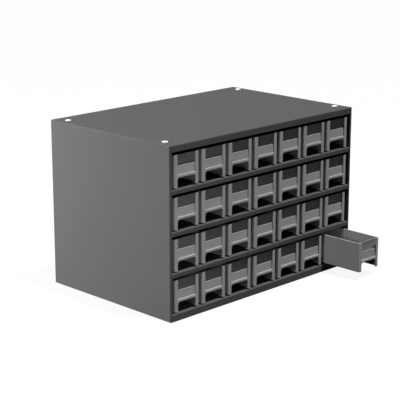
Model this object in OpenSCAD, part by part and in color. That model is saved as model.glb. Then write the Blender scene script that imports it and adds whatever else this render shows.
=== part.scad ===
// Small parts cabinet: a folded steel casing with rows of moulded drawers.
// Millimetres. The origin is at the middle of the casing's underside, +Z is up and -Y is the front.

/* [Layout] */
// Number of drawers side by side
columns = 7; // [2:1:10]
// Number of rows of drawers, one above another
rows = 4; // [2:1:6]
// Row of the drawer that stands open, counted from the top
open_row = 4; // [1:1:6]
// Column of the drawer that stands open, counted from the left
open_column = 7; // [1:1:10]
// How far that drawer is pulled out
open_by = 76; // [0:1:240]

/* [Sheet metal] */
// Thickness of the casing's sheet
sheet = 1.0; // [0.6:0.1:1.5]
// Radius on the inside of each bend
bend_inner_r = 0.6; // [0.3:0.1:1.5]
// Width of the flanges at the front of the two sides
side_flange_w = 4.1; // [3:0.1:7]
// Height of the lip below the top's front edge
top_lip_h = 10.6; // [6:0.1:20]
// Height of the lips in front of the shelves
shelf_lip_h = 7.3; // [5:0.1:12]
// Height of the lips at the sides and the rear of the shelves
shelf_side_lip_h = 3.5; // [3:0.1:5]
// Height of the lip in front of the base
base_lip_h = 12.1; // [8:0.1:25]
// Width of the flanges turned in under the two sides
bottom_flange_w = 24; // [18:0.5:40]
// Depth of the recess behind the back panel
back_recess = 8.4; // [4:0.1:20]
// Open seam between sheet edges that meet
seam = 0.4; // [0.2:0.1:0.8]

/* [Runners and guides] */
// Height of the stamped runners that carry the drawers
runner_h = 1.6; // [1:0.1:2.5]
// Half of the width of a runner
runner_half_w = 3; // [2.5:0.1:4]
// Distance between a drawer's two runners
runner_spacing = 30; // [20:1:36]
// Distance from the front and back edges to the ends of the runners and guides
runner_inset = 28; // [9:1:40]
// Height of the guide ribs between neighbouring drawers
guide_h = 5; // [3.5:0.1:8]
// Play between a drawer and the guide rib beside it
guide_play = 1.0; // [0.6:0.1:1.4]

/* [Drawer fit] */
// Gap between neighbouring drawers
drawer_gap = 5.65; // [5:0.05:10]
// Gap between an end drawer and the side sheet
end_gap = 8.95; // [7:0.05:15]
// Running gap under a drawer
slide_gap = 0.3; // [0.2:0.1:0.6]
// Gap between a drawer's rim and the lip above it
headroom = 5.6; // [3:0.1:7]
// Distance from the casing's front to the front of a closed drawer
front_setback = 1.2; // [0.5:0.1:4]
// Gap between a closed drawer and the back panel
rear_gap = 0.5; // [0.3:0.1:2]

/* [Drawer body] */
// Width of a drawer
drawer_w = 54; // [48:0.5:90]
// Height of a drawer's walls
drawer_h = 51.2; // [46:0.1:90]
// Length of a drawer from front to back
drawer_l = 268.3; // [255:0.1:400]
// Thickness of the side and rear walls
drawer_wall = 1.8; // [1.2:0.1:2.4]
// Thickness of the floor
drawer_floor = 1.8; // [1.2:0.1:2.4]
// Radius of the upright corners
corner_r = 3.2; // [1:0.1:4]
// Radius along the bottom edges
bottom_r = 2; // [1:0.1:3]
// Radius inside the bottom edges
bottom_inner_r = 1; // [0.5:0.1:3]

/* [Drawer front] */
// Width of the posts at the two sides of the front
post_w = 7.65; // [6:0.05:10]
// Thickness of the posts
post_t = 1.4; // [1.2:0.1:2.4]
// Height of the finger arch
arch_h = 15.5; // [12:0.1:20]
// Radius of the finger arch's upper corners
arch_r = 4.5; // [2:0.1:8]
// Height of the ledge between the posts
ledge_h = 3.8; // [2.5:0.1:6]
// Distance from the posts back to the label panel
panel_gap = 0.6; // [0.5:0.1:3]
// Thickness of the label panel
panel_t = 1.2; // [1:0.1:3]
// Height of the label panel above the finger arch
panel_h = 18.4; // [12:0.1:22]
// Depth of the slot behind the panel that takes a label card
label_slot = 2.8; // [0.8:0.1:4]
// Thickness of the front wall behind the slot
wall_t = 1.5; // [1.2:0.1:2.4]
// Thickness of that wall at its upper edge
wall_tip_t = 0.9; // [0.6:0.1:1.2]
// How far the wall leans forward from the panel's upper edge to its own
wall_lean = 2.4; // [0:0.1:2.6]
// Distance from the rim down to the front wall's upper edge
wall_drop = 0.6; // [0.3:0.1:6]
// Height of the upper end of the sloping wall behind the panel
scoop_h = 28; // [24:0.1:31]
// Level distance from the front wall to the foot of the sloping wall
scoop_run = 39.5; // [30:0.5:60]
// Thickness of the sloping wall, measured upright
scoop_t = 2.2; // [1.6:0.1:4]

/* [Drawer details] */
// Distance from the front to the first slot for a divider
divider_first = 72.2; // [50:0.1:90]
// Distance from one divider slot to the next
divider_pitch = 57; // [40:0.5:70]
// Number of divider slots
divider_slots = 3; // [1:1:3]
// Width of a divider slot
divider_slot_w = 3.8; // [2:0.1:6]
// Width of the ribs at the two sides of a divider slot
divider_rib_w = 1.6; // [1:0.1:2.5]
// Height of those ribs above the wall
divider_rib_h = 0.8; // [0.5:0.1:1.5]
// Distance from the rim to the upper ends of those ribs
divider_rib_drop = 5; // [2:0.1:10]
// How far the stop ears on the rear of the rim reach up behind the lip above
ear_catch = 1.9; // [1:0.1:3]
// Length of the stop ears at the rim
ear_l = 16; // [10:0.5:24]
// Length of the flat upper edge of the stop ears
ear_flat_l = 6; // [3:0.5:9]
// Distance from the rear of the drawer to the stop ears
ear_inset = 3; // [2.5:0.1:8]

/* [Stacking buttons] */
// Distance from the middle of a button to the outside of the nearer side
button_side_inset = 15.4; // [12:0.1:17]
// Distance from the middle of a button to the front or rear edge
button_end_inset = 25.7; // [20:0.1:40]
// Diameter of a button's head
button_d = 9.5; // [8:0.1:11]
// Height of the straight part of the head
button_rim_h = 1; // [0.6:0.1:1.5]
// Height of the crown on the head
button_crown_h = 0.8; // [0.4:0.1:1.2]
// Diameter of the stem through the sheet
button_stem_d = 5; // [4:0.1:6]
// Play around the stem
button_stem_play = 0.1; // [0.05:0.05:0.3]
// How far the barb stands out past the stem
button_barb_out = 0.6; // [0.4:0.1:1]
// Length of the barb
button_barb_l = 4; // [3:0.1:5]
// Play around the head in the socket of a cabinet above
socket_play = 0.5; // [0.2:0.1:1]

/* [Hidden] */
$fn = 48;
// How far a cutting shape runs past the face that it cuts
past = 1;
steel = "#55565a";
plastic = "#85868a";
nylon = "#f4f4f2";

bend_outer_r = bend_inner_r + sheet;
row_opening = runner_h + slide_gap + drawer_h + headroom;
row_pitch = row_opening + shelf_lip_h;
column_pitch = drawer_w + drawer_gap;

casing_w = columns * drawer_w + (columns - 1) * drawer_gap + 2 * end_gap + 2 * sheet;
casing_h = base_lip_h + rows * row_opening + (rows - 1) * shelf_lip_h + top_lip_h;
casing_d = front_setback + drawer_l + rear_gap + sheet + back_recess;
inner_w = casing_w - 2 * sheet;
front_y = -casing_d / 2;
back_y = casing_d / 2;
web_y = back_y - back_recess - sheet;

guide_w = drawer_gap - 2 * guide_play;
runner_l = web_y - front_y - 2 * runner_inset;
runner_r = (runner_half_w * runner_half_w + runner_h * runner_h) / (2 * runner_h);

front_open_w = drawer_w - 2 * post_w;
drawer_inner_w = drawer_w - 2 * drawer_wall;
panel_y = post_t + panel_gap;
panel_top_z = arch_h + panel_h;
wall_y = panel_y + panel_t + label_slot;
wall_back_y = wall_y + wall_t;
scoop_foot_y = wall_back_y + scoop_run;
scoop_slope = scoop_h / scoop_run;
pocket_l = scoop_foot_y - scoop_t / scoop_slope;
ear_h = headroom + ear_catch;

button_x = casing_w / 2 - button_side_inset;
button_y = casing_d / 2 - button_end_inset;
socket_d = button_d + 2 * socket_play;

function shelf_name(k) = str("shelf_", k);
function drawer_name(r, c) = str("drawer_r", r, "_c", c);
// Upper face of the floor under row r, where row 1 is the top row
function floor_z(r) = base_lip_h + (rows - r) * row_pitch;
// Middle of column c, where column 1 is the left one
function column_x(c) = (c - (columns + 1) / 2) * column_pitch;
function pulled_out(r, c) = r == open_row && c == open_column ? open_by : 0;

// Flat shape with its lower left corner at the origin and all four corners round
module round_rect(w, h, r) {
    translate([r, 0]) square([w - 2 * r, h]);
    translate([0, r]) square([w, h - 2 * r]);
    for (x = [r, w - r], y = [r, h - r]) translate([x, y]) circle(r);
}

// The same with only the two corners at the origin's end of h round
module round_start(w, h, r) {
    round_rect(w, h, r);
    translate([0, h / 2]) square([w, h / 2]);
}

// Turns a flat shape upright and sweeps it from y0 towards the back
module sweep_back(y0, length) {
    translate([0, y0 + length, 0]) rotate([90, 0, 0]) linear_extrude(length) children();
}

// Turns a flat shape of depth and height upright and sweeps it across the width w
module sweep_across(w) {
    translate([-w / 2, 0, 0]) rotate([90, 0, 90]) linear_extrude(w) children();
}

// Space inside or outside the casing's sheet: bends at the top, the sides' fronts and the undersides
module casing_form(inset, r, overrun) {
    w = casing_w - 2 * inset;
    d = casing_d - inset + overrun;
    h = casing_h - 2 * inset;
    intersection() {
        translate([-w / 2, 0, inset]) sweep_back(front_y + inset, d) round_rect(w, h, r);
        translate([0, front_y + inset, inset + h]) mirror([0, 0, 1])
            sweep_across(w) {
                round_start(d, h, r);
                translate([d / 2, 0]) square([d / 2, h]);
            }
        translate([-w / 2, front_y + inset, inset]) linear_extrude(h) round_start(w, d, r);
    }
}

// Cut through both front flanges, from the inner face of one side sheet to the other
module flange_notch(z, h) {
    translate([-inner_w / 2, front_y - past, z]) cube([inner_w, past + sheet + bend_inner_r, h]);
}

module wrapper() {
    color(steel) difference() {
        casing_form(0, bend_outer_r, 0);
        casing_form(sheet, bend_inner_r, past);
        front_opening();
        bottom_opening();
        flange_notch(-past, base_lip_h + past);
        for (r = [1 : rows - 1]) flange_notch(floor_z(r) - shelf_lip_h, shelf_lip_h);
        lip_seams();
        button_positions() translate([0, 0, casing_h - sheet - past])
            cylinder(d = button_stem_d + 2 * button_stem_play, h = sheet + 2 * past);
        button_positions() translate([0, 0, -past]) cylinder(d = socket_d, h = sheet + 2 * past);
    }
}

module front_opening() {
    w = casing_w - 2 * side_flange_w;
    translate([-w / 2, front_y - past, -past])
        cube([w, past + sheet + bend_inner_r, casing_h - top_lip_h + past]);
}

module bottom_opening() {
    w = casing_w - 2 * bottom_flange_w;
    translate([-w / 2, front_y - past, -past]) cube([w, casing_d + 2 * past, sheet + bend_inner_r + past]);
}

// Seams that part the top's lip from the side flanges, with a cut across the flange at the corner
module lip_seams() {
    relief_z = casing_h - bend_outer_r - 2 * sheet;
    for (side = [0, 1]) mirror([side, 0, 0]) {
        translate([casing_w / 2 - side_flange_w - seam, front_y - past, casing_h - top_lip_h - past])
            cube([seam, past + sheet + bend_inner_r, relief_z - casing_h + top_lip_h + past]);
        translate([casing_w / 2 - side_flange_w - seam, front_y - past, relief_z - sheet])
            cube([side_flange_w + seam - sheet, past + sheet + bend_inner_r, sheet]);
    }
}

// Shallow pan that stands upright in the rear of the casing
module back_panel() {
    z0 = sheet;
    h = casing_h - 2 * sheet;
    color(steel) difference() {
        translate([-inner_w / 2, 0, z0]) sweep_back(web_y, sheet + back_recess)
            round_rect(inner_w, h, bend_inner_r);
        translate([-inner_w / 2 + sheet, 0, z0 + sheet])
            sweep_back(web_y + sheet, back_recess + past)
            round_rect(inner_w - 2 * sheet, h - 2 * sheet, bend_inner_r);
    }
}

// Tray turned over: a floor with lips folded down all round.
module folded_tray(z_top, lip_h, side_lip_h) {
    d = web_y - front_y;
    difference() {
        tray_form(z_top, lip_h, inner_w, front_y, d, bend_outer_r, 0);
        tray_form(z_top - sheet, lip_h - sheet, inner_w - 2 * sheet, front_y + sheet, d - 2 * sheet,
            bend_inner_r, past);
        translate([-casing_w / 2, front_y + sheet, z_top - lip_h - past])
            cube([casing_w, d, past + lip_h - side_lip_h]);
    }
}

module tray_form(z_top, h, w, y0, d, r, overrun) {
    translate([0, y0, z_top]) mirror([0, 0, 1]) sweep_across(w) {
        translate([r, 0]) square([d - 2 * r, h + overrun]);
        translate([0, r]) square([d, h + overrun - r]);
        for (y = [r, d - r]) translate([y, r]) circle(r);
    }
}

// Floor of a row with its runners and guide ribs pressed up out of the sheet
module shelf(z_top, lip_h, side_lip_h) {
    color(steel) difference() {
        union() {
            folded_tray(z_top, lip_h, side_lip_h);
            for (c = [1 : columns], side = [-1, 1])
                translate([column_x(c) + side * runner_spacing / 2, 0, z_top]) runner(runner_r, runner_l);
            for (c = [0 : columns]) translate([column_x(c + 0.5), 0, z_top]) guide_rib();
        }
        for (c = [1 : columns], side = [-1, 1])
            translate([column_x(c) + side * runner_spacing / 2, 0, z_top]) runner_hollow();
        for (c = [0 : columns]) translate([column_x(c + 0.5), 0, z_top]) guide_hollow();
    }
}

// Rounded bar lying along the depth, whose crown stands runner_h above the sheet
module runner(r, length) {
    intersection() {
        translate([0, front_y + runner_inset, runner_h - runner_r])
            rotate([-90, 0, 0]) cylinder(r = r, h = length);
        translate([-r, front_y, -sheet]) cube([2 * r, casing_d, runner_h + sheet]);
    }
}

// Underside of a runner, which ends a sheet's thickness short of the runner
module runner_hollow() {
    translate([0, front_y + runner_inset + sheet, runner_h - runner_r])
        rotate([-90, 0, 0]) cylinder(r = runner_r - sheet, h = runner_l - 2 * sheet);
}

module guide_rib() {
    translate([-guide_w / 2, 0, -sheet]) sweep_back(front_y + runner_inset, runner_l)
        square([guide_w, guide_h + sheet]);
}

module guide_hollow() {
    w = guide_w - 2 * sheet;
    translate([-w / 2, 0, -sheet - past]) sweep_back(front_y + runner_inset + sheet, runner_l - 2 * sheet)
        square([w, guide_h + past]);
}

// The base's side and rear lips end above the bottom flanges and their bends
module base_shelf() {
    shelf(base_lip_h, base_lip_h, base_lip_h - sheet - bend_inner_r);
}

module button_positions() {
    for (x = [-button_x, button_x], y = [-button_y, button_y]) translate([x, y, 0]) children();
}

// Four nylon buttons, each with a crowned head, a stem through the sheet and a barb that holds it
module stacking_buttons() {
    crown_r = (button_d * button_d / 4 + button_crown_h * button_crown_h) / (2 * button_crown_h);
    color(nylon) button_positions() translate([0, 0, casing_h]) {
        cylinder(d = button_d, h = button_rim_h);
        intersection() {
            translate([0, 0, button_rim_h + button_crown_h - crown_r]) sphere(crown_r);
            cylinder(d = button_d, h = button_rim_h + button_crown_h);
        }
        translate([0, 0, -sheet - button_stem_play]) cylinder(d = button_stem_d, h = sheet + past);
        translate([0, 0, -sheet - button_stem_play - button_barb_l])
            cylinder(d1 = button_stem_d - 2 * button_stem_play, d2 = button_stem_d + 2 * button_barb_out,
                h = button_barb_l);
    }
}

module drawer(r, c) {
    color(plastic)
        translate([column_x(c), front_y + front_setback - pulled_out(r, c), floor_z(r) + runner_h + slide_gap])
        drawer_moulding();
}

// One drawer with the middle of its lower front edge at the origin
module drawer_moulding() {
    intersection() {
        translate([-drawer_w / 2, 0, 0]) linear_extrude(drawer_h + ear_h)
            round_rect(drawer_w, drawer_l, corner_r);
        union() {
            difference() {
                sweep_back(0, drawer_l) trough_section();
                finger_pocket_floor();
            }
            sweep_back(0, post_t) front_frame();
            intersection() {
                sweep_across(drawer_inner_w + drawer_wall) {
                    label_panel_section();
                    front_wall_section();
                    scoop_section();
                }
                sweep_back(0, drawer_l) drawer_outline();
            }
            sweep_back(drawer_l - drawer_wall, drawer_wall) drawer_outline();
            divider_ribs();
            stop_ears();
        }
    }
}

// Outline of a drawer seen from the front
module drawer_outline() {
    translate([-drawer_w / 2, 0]) round_start(drawer_w, drawer_h, bottom_r);
}

// Section through the two side walls and the floor
module trough_section() {
    difference() {
        drawer_outline();
        translate([-drawer_inner_w / 2, drawer_floor]) round_start(drawer_inner_w, drawer_h, bottom_inner_r);
    }
}

// The floor stops short of the front, so that fingers reach up behind the panel
module finger_pocket_floor() {
    translate([-drawer_inner_w / 2, -past, -past])
        cube([drawer_inner_w, pocket_l + past, drawer_floor + bottom_inner_r + past]);
}

// Two posts joined by the ledge, with the finger arch below it and the label's window above
module front_frame() {
    difference() {
        drawer_outline();
        translate([-front_open_w / 2, -2 * arch_r]) round_rect(front_open_w, arch_h + 2 * arch_r, arch_r);
        translate([-front_open_w / 2, arch_h + ledge_h]) square([front_open_w, drawer_h]);
    }
}

// Ledge and the label panel that stands on it, in depth and height
module label_panel_section() {
    translate([post_t / 2, arch_h]) square([wall_back_y - post_t / 2, ledge_h]);
    translate([panel_y, arch_h]) square([panel_t, panel_h]);
}

// Front wall behind the label slot, upright as far as the panel and leaning forward above it
module front_wall_section() {
    top_y = wall_y - wall_lean;
    top_z = drawer_h - wall_drop;
    polygon([
        [wall_y, arch_h],
        [wall_back_y, arch_h],
        [wall_back_y, panel_top_z],
        [top_y + wall_tip_t, top_z],
        [top_y, top_z],
        [wall_y, panel_top_z],
    ]);
}

// Sloping wall between the front wall and the floor, in depth and height
module scoop_section() {
    start_y = wall_y + wall_t / 2;
    start_z = scoop_h + scoop_slope * wall_t / 2;
    polygon([
        [start_y, start_z - scoop_t],
        [pocket_l, 0],
        [scoop_foot_y, 0],
        [start_y, start_z],
    ]);
}

// Pairs of ribs on both side walls, with a slot for a divider in each pair
module divider_ribs() {
    rib_z = drawer_floor / 2;
    for (k = [0 : divider_slots - 1], side = [0, 1], end = [-1, 1]) mirror([side, 0, 0])
        translate([
            drawer_inner_w / 2 - divider_rib_h,
            divider_first + k * divider_pitch + end * (divider_slot_w + divider_rib_w) / 2 - divider_rib_w / 2,
            rib_z
        ])
            cube([divider_rib_h + drawer_wall / 2, divider_rib_w, drawer_h - divider_rib_drop - rib_z]);
}

// Ears on the rear of the rim that catch behind the lip when the drawer is pulled out
module stop_ears() {
    y1 = drawer_l - ear_inset;
    y0 = y1 - ear_l;
    for (side = [0, 1]) mirror([side, 0, 0]) translate([(drawer_inner_w + drawer_wall) / 2, 0, 0])
        sweep_across(drawer_wall) polygon([
            [y0, drawer_h - drawer_wall],
            [y1, drawer_h - drawer_wall],
            [y1, drawer_h],
            [y0 + ear_flat_l, drawer_h + ear_h],
            [y0, drawer_h + ear_h],
        ]);
}

wrapper();
back_panel();
base_shelf();
for (k = [1 : rows - 1])
    shelf(floor_z(rows - k), shelf_lip_h, shelf_side_lip_h);
stacking_buttons();
for (r = [1 : rows], c = [1 : columns])
    drawer(r, c);
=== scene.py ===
"""Looks of a small parts cabinet: an enamelled steel casing with rows of moulded drawers.

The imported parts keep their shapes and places. This script gives them eased edges and real finishes,
and sets a white studio with a camera.
"""

import math

import bmesh
import bpy
from bpy.props import FloatProperty, FloatVectorProperty, IntProperty, PointerProperty
from bpy.types import Operator, Panel, PropertyGroup
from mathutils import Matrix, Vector


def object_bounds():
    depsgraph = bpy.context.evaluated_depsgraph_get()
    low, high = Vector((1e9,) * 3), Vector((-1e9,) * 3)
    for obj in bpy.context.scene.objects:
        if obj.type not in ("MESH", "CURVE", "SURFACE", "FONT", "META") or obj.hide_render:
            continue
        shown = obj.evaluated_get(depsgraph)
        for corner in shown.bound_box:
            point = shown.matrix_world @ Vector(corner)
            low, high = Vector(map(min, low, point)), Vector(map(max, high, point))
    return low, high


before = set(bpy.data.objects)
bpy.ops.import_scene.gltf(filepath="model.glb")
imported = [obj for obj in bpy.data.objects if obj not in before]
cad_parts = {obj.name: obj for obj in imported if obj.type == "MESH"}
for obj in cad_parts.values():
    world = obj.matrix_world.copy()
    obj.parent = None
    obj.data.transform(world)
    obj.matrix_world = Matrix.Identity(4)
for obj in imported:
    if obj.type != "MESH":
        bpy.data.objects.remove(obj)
CAD_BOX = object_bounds()

bl_info = {
    "name": "Small Parts Cabinet",
    "version": (1, 0, 0),
    "blender": (4, 5, 0),
    "location": "View3D > Sidebar > Cabinet",
    "description": "Finishes a steel cabinet with moulded drawers and sets a white studio round it",
    "category": "Object",
}

MM = 0.001
IMAGE_SIDE = 400
SENSOR_MM = 36
FLOOR_HALF_WIDTH = 12
BUTTONS = "stacking_buttons"
DRAWERS = sorted(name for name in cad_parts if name.startswith("drawer_"))
SHEETS = sorted(set(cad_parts) - set(DRAWERS) - {BUTTONS})


def linear(hex_colour):
    """Turn an sRGB hex colour into linear RGB with full alpha."""
    channels = [int(hex_colour[i : i + 2], 16) / 255 for i in (1, 3, 5)]
    straight = [c / 12.92 if c <= 0.04045 else ((c + 0.055) / 1.055) ** 2.4 for c in channels]
    return (*straight, 1.0)


def per_mm(size_mm):
    """Texture scale, in repeats a metre, for a pattern whose features are size_mm across."""
    return 1 / (size_mm * MM)


def add_node(tree, kind, settings=None, **sockets):
    """Add a node, set its properties, and fill its inputs with values or with links from other sockets.

    An input's name is written with underscores for spaces, or as its number after an underscore.
    """
    node = tree.nodes.new(kind)
    for name, value in (settings or {}).items():
        setattr(node, name, value)
    for name, value in sockets.items():
        key = int(name[1:]) if name[0] == "_" else name.replace("_", " ")
        if isinstance(value, bpy.types.NodeSocket):
            tree.links.new(value, node.inputs[key])
        else:
            node.inputs[key].default_value = value
    return node


def new_material(name):
    """Start a material with an empty node tree."""
    material = bpy.data.materials.new(name)
    material.use_nodes = True
    material.node_tree.nodes.clear()
    return material, material.node_tree


def finish_material(tree, shader):
    """Join a shader to the material's output."""
    add_node(tree, "ShaderNodeOutputMaterial", Surface=shader)


class CabinetFinish(PropertyGroup):
    """Colours and surface sizes of the three finishes."""

    enamel_colour: FloatVectorProperty(
        name="Enamel",
        description="Colour of the baked enamel on the steel",
        subtype="COLOR",
        size=4,
        min=0,
        max=1,
        default=linear("#515253"),
    )
    enamel_roughness: FloatProperty(
        name="Enamel roughness",
        description="Roughness of the enamel, from a mirror at 0 to chalk at 1",
        subtype="FACTOR",
        min=0,
        max=1,
        default=0.6,
    )
    peel_size: FloatProperty(
        name="Orange peel",
        description="Width of one ripple of the sprayed enamel",
        unit="LENGTH",
        default=2.4 * MM,
    )
    plastic_colour: FloatVectorProperty(
        name="Plastic",
        description="Colour of the moulded drawers",
        subtype="COLOR",
        size=4,
        min=0,
        max=1,
        default=linear("#a3a3a3"),
    )
    plastic_roughness: FloatProperty(
        name="Plastic roughness",
        description="Roughness of the drawers' satin surface",
        subtype="FACTOR",
        min=0,
        max=1,
        default=0.52,
    )
    grain_size: FloatProperty(
        name="Mould grain",
        description="Width of one grain of the texture that the mould leaves on the drawers",
        unit="LENGTH",
        default=1.1 * MM,
    )
    drawer_edge: FloatProperty(
        name="Drawer edges",
        description="Width of the rounding on the drawers' edges",
        unit="LENGTH",
        default=0.2 * MM,
    )
    edge_segments: IntProperty(
        name="Edge segments",
        description="Faces across each rounded edge",
        min=1,
        default=2,
    )
    nylon_colour: FloatVectorProperty(
        name="Nylon",
        description="Colour of the stacking buttons",
        subtype="COLOR",
        size=4,
        min=0,
        max=1,
        default=linear("#ecece9"),
    )


class CabinetStudio(PropertyGroup):
    """Camera and light of the studio."""

    camera_place: FloatVectorProperty(
        name="Camera",
        description="Where the camera stands",
        subtype="TRANSLATION",
        default=(-1.5475, -1.5355, 0.7136),
    )
    camera_turn: FloatProperty(
        name="Camera turn",
        description="Direction of the camera round the cabinet, where 0 looks at the front",
        subtype="ANGLE",
        default=math.radians(-45),
    )
    camera_tilt: FloatProperty(
        name="Camera tilt",
        description="How far the camera looks down",
        subtype="ANGLE",
        default=math.radians(15),
    )
    camera_focus: FloatProperty(
        name="Focal length in pixels",
        description="Focal length in pixels of the square picture",
        default=1328.8,
    )
    sky_strength: FloatProperty(
        name="Sky",
        description="Strength of the even light from all round",
        default=0.012,
    )
    side_power: FloatProperty(
        name="Side lamp",
        description="Power of the lamp at the left and behind",
        subtype="POWER",
        default=33,
    )
    high_power: FloatProperty(
        name="High lamp",
        description="Light from the lamp high over the front, on a square metre that faces it",
        default=4.3,
    )
    left_power: FloatProperty(
        name="Left lamp",
        description="Power of the lamp at the left that shines along the front",
        subtype="POWER",
        default=5.0,
    )
    low_power: FloatProperty(
        name="Low lamp",
        description="Power of the small lamp in front of the left columns",
        subtype="POWER",
        default=0.11,
    )
    right_power: FloatProperty(
        name="Right lamp",
        description="Power of the low lamp at the right, which lights the right side",
        subtype="POWER",
        default=14,
    )


def shade(colour, factor):
    """Make a colour lighter or darker by a factor."""
    return [c * factor for c in colour[:3]] + [1]


def enamelled_steel(finish):
    """Baked enamel sprayed on folded steel sheet.

    To the eye it is an even, nearly matt dark grey that is broken up by a faint orange peel, and
    a little duller in cloudy patches where the spray fell thicker.
    """
    material, tree = new_material("baked_enamel_on_steel")
    place = add_node(tree, "ShaderNodeTexCoord").outputs["Object"]
    cloud = add_node(
        tree, "ShaderNodeTexNoise", Vector=place, Scale=per_mm(45), Detail=3.0, Roughness=0.5
    ).outputs["Fac"]
    peel = add_node(
        tree, "ShaderNodeTexNoise", Vector=place, Scale=1 / finish.peel_size, Detail=2.0, Roughness=0.45
    ).outputs["Fac"]
    tone = add_node(
        tree, "ShaderNodeMix", {"data_type": "RGBA"}, _0=cloud,
        _6=shade(finish.enamel_colour, 0.96), _7=shade(finish.enamel_colour, 1.04),
    ).outputs[2]
    rough = add_node(
        tree, "ShaderNodeMapRange", Value=cloud, To_Min=finish.enamel_roughness - 0.05,
        To_Max=finish.enamel_roughness + 0.05,
    ).outputs["Result"]
    bump = add_node(
        tree, "ShaderNodeBump", Height=peel, Strength=0.12, Distance=0.05 * MM
    ).outputs["Normal"]
    shader = add_node(
        tree, "ShaderNodeBsdfPrincipled", Base_Color=tone, Roughness=rough, Normal=bump, IOR=1.5,
        Specular_IOR_Level=0.004,
    )
    finish_material(tree, shader.outputs["BSDF"])
    return material


def moulded_polystyrene(finish):
    """High impact polystyrene from a lightly textured mould.

    To the eye it is an even mid grey with a satin face, a fine grain from the mould and faint lighter
    flow marks along the walls.
    """
    material, tree = new_material("moulded_polystyrene")
    place = add_node(tree, "ShaderNodeTexCoord").outputs["Object"]
    flow = add_node(
        tree, "ShaderNodeTexNoise", Vector=place, Scale=per_mm(30), Detail=2.0, Distortion=0.6
    ).outputs["Fac"]
    grain = add_node(
        tree, "ShaderNodeTexNoise", Vector=place, Scale=1 / finish.grain_size, Detail=3.0, Roughness=0.6
    ).outputs["Fac"]
    tone = add_node(
        tree, "ShaderNodeMix", {"data_type": "RGBA"}, _0=flow,
        _6=shade(finish.plastic_colour, 0.965), _7=shade(finish.plastic_colour, 1.035),
    ).outputs[2]
    rough = add_node(
        tree, "ShaderNodeMapRange", Value=grain, To_Min=finish.plastic_roughness - 0.06,
        To_Max=finish.plastic_roughness + 0.06,
    ).outputs["Result"]
    bump = add_node(
        tree, "ShaderNodeBump", Height=grain, Strength=0.15, Distance=0.04 * MM
    ).outputs["Normal"]
    shader = add_node(
        tree, "ShaderNodeBsdfPrincipled", Base_Color=tone, Roughness=rough, Normal=bump, IOR=1.59,
        Specular_IOR_Level=0.02,
    )
    finish_material(tree, shader.outputs["BSDF"])
    return material


def moulded_nylon(finish):
    """White nylon: a milky plastic that lets a little light in, with a waxy shine."""
    material, tree = new_material("moulded_nylon")
    place = add_node(tree, "ShaderNodeTexCoord").outputs["Object"]
    wax = add_node(
        tree, "ShaderNodeTexNoise", Vector=place, Scale=per_mm(1.5), Detail=2.0
    ).outputs["Fac"]
    rough = add_node(tree, "ShaderNodeMapRange", Value=wax, To_Min=0.34, To_Max=0.46).outputs["Result"]
    bump = add_node(tree, "ShaderNodeBump", Height=wax, Strength=0.1, Distance=0.03 * MM).outputs["Normal"]
    shader = add_node(
        tree, "ShaderNodeBsdfPrincipled", Base_Color=finish.nylon_colour, Roughness=rough, Normal=bump,
        IOR=1.53,
    )
    finish_material(tree, shader.outputs["BSDF"])
    return material


def seen_rays(tree):
    """1 for rays from the camera, from shiny surfaces and through clear ones, and 0 for all others."""
    path = add_node(tree, "ShaderNodeLightPath")
    seen = path.outputs["Is Camera Ray"]
    for kind in ("Is Glossy Ray", "Is Transmission Ray"):
        seen = add_node(
            tree, "ShaderNodeMath", {"operation": "MAXIMUM"}, _0=seen, _1=path.outputs[kind]
        ).outputs[0]
    return seen


def white_sweep(name):
    """Matt white paper: white to the camera and in reflections, with the cabinet's shadow left on it.

    To other rays it is dark, so that it throws little light up under the cabinet and into the drawers.
    """
    material, tree = new_material(name)
    seen = seen_rays(tree)
    tone = add_node(
        tree, "ShaderNodeMix", {"data_type": "RGBA"}, _0=seen, _6=linear("#222222"), _7=linear("#d8d8d8")
    )
    paper = add_node(tree, "ShaderNodeBsdfDiffuse", Color=tone.outputs[2])
    glow = add_node(tree, "ShaderNodeEmission", Color=linear("#ffffff"), Strength=1.0)
    share = add_node(tree, "ShaderNodeMath", {"operation": "MULTIPLY"}, _0=seen, _1=0.9)
    mixed = add_node(
        tree, "ShaderNodeMixShader", _0=share.outputs[0], _1=paper.outputs[0], _2=glow.outputs[0]
    )
    finish_material(tree, mixed.outputs[0])
    return material


def give_finish(obj, material):
    """Put one material in every slot of a part."""
    for slot in obj.material_slots:
        slot.material = material


def ease_edges(obj, width, segments):
    """Round the sharp edges of a moulded part, and let flat faces shade flat."""
    joined = obj.modifiers.new("joined triangles", "WELD")
    joined.merge_threshold = 0.02 * MM
    eased = obj.modifiers.new("eased edges", "BEVEL")
    eased.width = width
    eased.segments = segments
    eased.limit_method = "ANGLE"
    eased.angle_limit = math.radians(50)
    eased.use_clamp_overlap = False
    eased.loop_slide = False
    eased.miter_outer = "MITER_ARC"
    shaded = obj.modifiers.new("flat faces", "WEIGHTED_NORMAL")
    shaded.weight = 100
    shaded.keep_sharp = False


class CABINET_OT_finish_casing(Operator):
    """Enamel the folded sheets of the casing"""

    bl_idname = "cabinet.finish_casing"
    bl_label = "Finish casing"

    def execute(self, context):
        enamel = enamelled_steel(context.scene.cabinet_finish)
        for name in SHEETS:
            give_finish(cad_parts[name], enamel)
        return {"FINISHED"}


class CABINET_OT_finish_drawers(Operator):
    """Give the drawers their moulded plastic and eased edges"""

    bl_idname = "cabinet.finish_drawers"
    bl_label = "Finish drawers"

    def execute(self, context):
        finish = context.scene.cabinet_finish
        plastic = moulded_polystyrene(finish)
        for name in DRAWERS:
            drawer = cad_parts[name]
            give_finish(drawer, plastic)
            ease_edges(drawer, finish.drawer_edge, finish.edge_segments)
        return {"FINISHED"}


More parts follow.
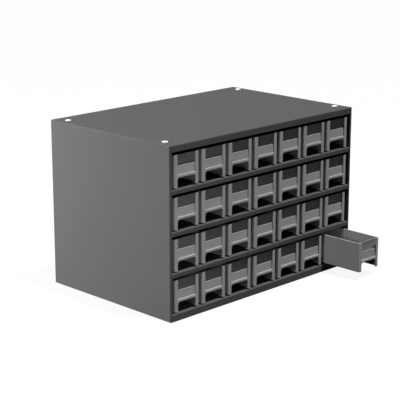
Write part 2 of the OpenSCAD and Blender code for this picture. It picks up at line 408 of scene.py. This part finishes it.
class CABINET_OT_finish_buttons(Operator):
    """Give the stacking buttons their white nylon"""

    bl_idname = "cabinet.finish_buttons"
    bl_label = "Finish buttons"

    def execute(self, context):
        give_finish(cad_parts[BUTTONS], moulded_nylon(context.scene.cabinet_finish))
        return {"FINISHED"}


def add_floor(name, half_width):
    """White floor under the cabinet, wide enough to fill the picture."""
    low = CAD_BOX[0].z
    bm = bmesh.new()
    bmesh.ops.create_grid(bm, x_segments=1, y_segments=1, size=half_width)
    bmesh.ops.translate(bm, verts=bm.verts, vec=(0, 0, low))
    mesh = bpy.data.meshes.new(name)
    bm.to_mesh(mesh)
    bm.free()
    floor = bpy.data.objects.new(name, mesh)
    floor.data.materials.append(white_sweep("matt_white_paper"))
    bpy.context.scene.collection.objects.link(floor)
    return floor


def add_softbox(name, place, target, size, power):
    """Square soft lamp at a place, facing a target."""
    lamp = bpy.data.lights.new(name, "AREA")
    lamp.shape = "SQUARE"
    lamp.size = size
    lamp.energy = power
    obj = bpy.data.objects.new(name, lamp)
    obj.location = place
    obj.rotation_euler = (Vector(target) - Vector(place)).to_track_quat("-Z", "Y").to_euler()
    bpy.context.scene.collection.objects.link(obj)
    return obj


def add_far_lamp(name, towards, spread, power):
    """Lamp so far away in a direction that it lights every row alike."""
    lamp = bpy.data.lights.new(name, "SUN")
    lamp.angle = spread
    lamp.energy = power
    obj = bpy.data.objects.new(name, lamp)
    obj.location = towards
    obj.rotation_euler = (-Vector(towards)).to_track_quat("-Z", "Y").to_euler()
    bpy.context.scene.collection.objects.link(obj)
    return obj


def add_sky(strength):
    """Even light from all round, which the camera and shiny surfaces see as plain white."""
    world = bpy.data.worlds.new("white_studio")
    world.use_nodes = True
    tree = world.node_tree
    tree.nodes.clear()
    level = add_node(
        tree, "ShaderNodeMapRange", Value=seen_rays(tree), To_Min=strength, To_Max=1.0
    )
    sky = add_node(
        tree, "ShaderNodeBackground", Color=linear("#ffffff"), Strength=level.outputs["Result"]
    )
    add_node(tree, "ShaderNodeOutputWorld", Surface=sky.outputs[0])
    bpy.context.scene.world = world


def add_camera(studio):
    """Camera at the photograph's place, without roll."""
    lens = bpy.data.cameras.new("camera")
    lens.sensor_fit = "HORIZONTAL"
    lens.sensor_width = SENSOR_MM
    lens.lens = lens.sensor_width * studio.camera_focus / IMAGE_SIDE
    lens.clip_start = 0.05
    lens.clip_end = 50
    turn, tilt = studio.camera_turn, studio.camera_tilt
    back = Vector((math.sin(turn) * math.cos(tilt), -math.cos(turn) * math.cos(tilt), math.sin(tilt)))
    camera = bpy.data.objects.new("camera", lens)
    camera.location = studio.camera_place
    camera.rotation_euler = (-back).to_track_quat("-Z", "Y").to_euler()
    bpy.context.scene.collection.objects.link(camera)
    bpy.context.scene.camera = camera


class CABINET_OT_set_stage(Operator):
    """Set the white floor, the lamps, the sky and the camera"""

    bl_idname = "cabinet.set_stage"
    bl_label = "Set stage"

    def execute(self, context):
        studio = context.scene.cabinet_studio
        add_floor("studio_floor", FLOOR_HALF_WIDTH)
        add_softbox("side_softbox", (-0.92, 0.88, 0.36), (-0.2, 0.05, 0.18), 0.5, studio.side_power)
        add_far_lamp("high_lamp", (0.12, -0.26, 0.9), math.radians(2.5), studio.high_power)
        add_softbox("left_softbox", (-1.2, -0.22, 0.5), (0.15, -0.18, 0.05), 0.2, studio.left_power)
        add_softbox("low_softbox", (-0.36, -0.34, 0.16), (-0.17, -0.14, 0.14), 0.1, studio.low_power)
        add_softbox("right_softbox", (1.2, 0.3, 0.1), (0.2, 0.0, 0.14), 0.3, studio.right_power)
        add_sky(studio.sky_strength)
        add_camera(studio)
        context.scene.view_settings.view_transform = "Standard"
        return {"FINISHED"}


class CABINET_PT_panel(Panel):
    """Steps that finish the cabinet, in order"""

    bl_label = "Small parts cabinet"
    bl_idname = "CABINET_PT_panel"
    bl_space_type = "VIEW_3D"
    bl_region_type = "UI"
    bl_category = "Cabinet"

    def draw(self, context):
        for step in STEPS:
            self.layout.operator(step.bl_idname)
        for group in (context.scene.cabinet_finish, context.scene.cabinet_studio):
            box = self.layout.box()
            for name in group.__annotations__:
                box.prop(group, name)


STEPS = (
    CABINET_OT_finish_casing,
    CABINET_OT_finish_drawers,
    CABINET_OT_finish_buttons,
    CABINET_OT_set_stage,
)
CLASSES = (CabinetFinish, CabinetStudio, *STEPS, CABINET_PT_panel)


def register():
    for cls in CLASSES:
        bpy.utils.register_class(cls)
    bpy.types.Scene.cabinet_finish = PointerProperty(type=CabinetFinish)
    bpy.types.Scene.cabinet_studio = PointerProperty(type=CabinetStudio)


def unregister():
    del bpy.types.Scene.cabinet_studio
    del bpy.types.Scene.cabinet_finish
    for cls in reversed(CLASSES):
        bpy.utils.unregister_class(cls)


def main():
    register()
    bpy.ops.cabinet.finish_casing()
    bpy.ops.cabinet.finish_drawers()
    bpy.ops.cabinet.finish_buttons()
    bpy.ops.cabinet.set_stage()


if __name__ == "__main__":
    main()
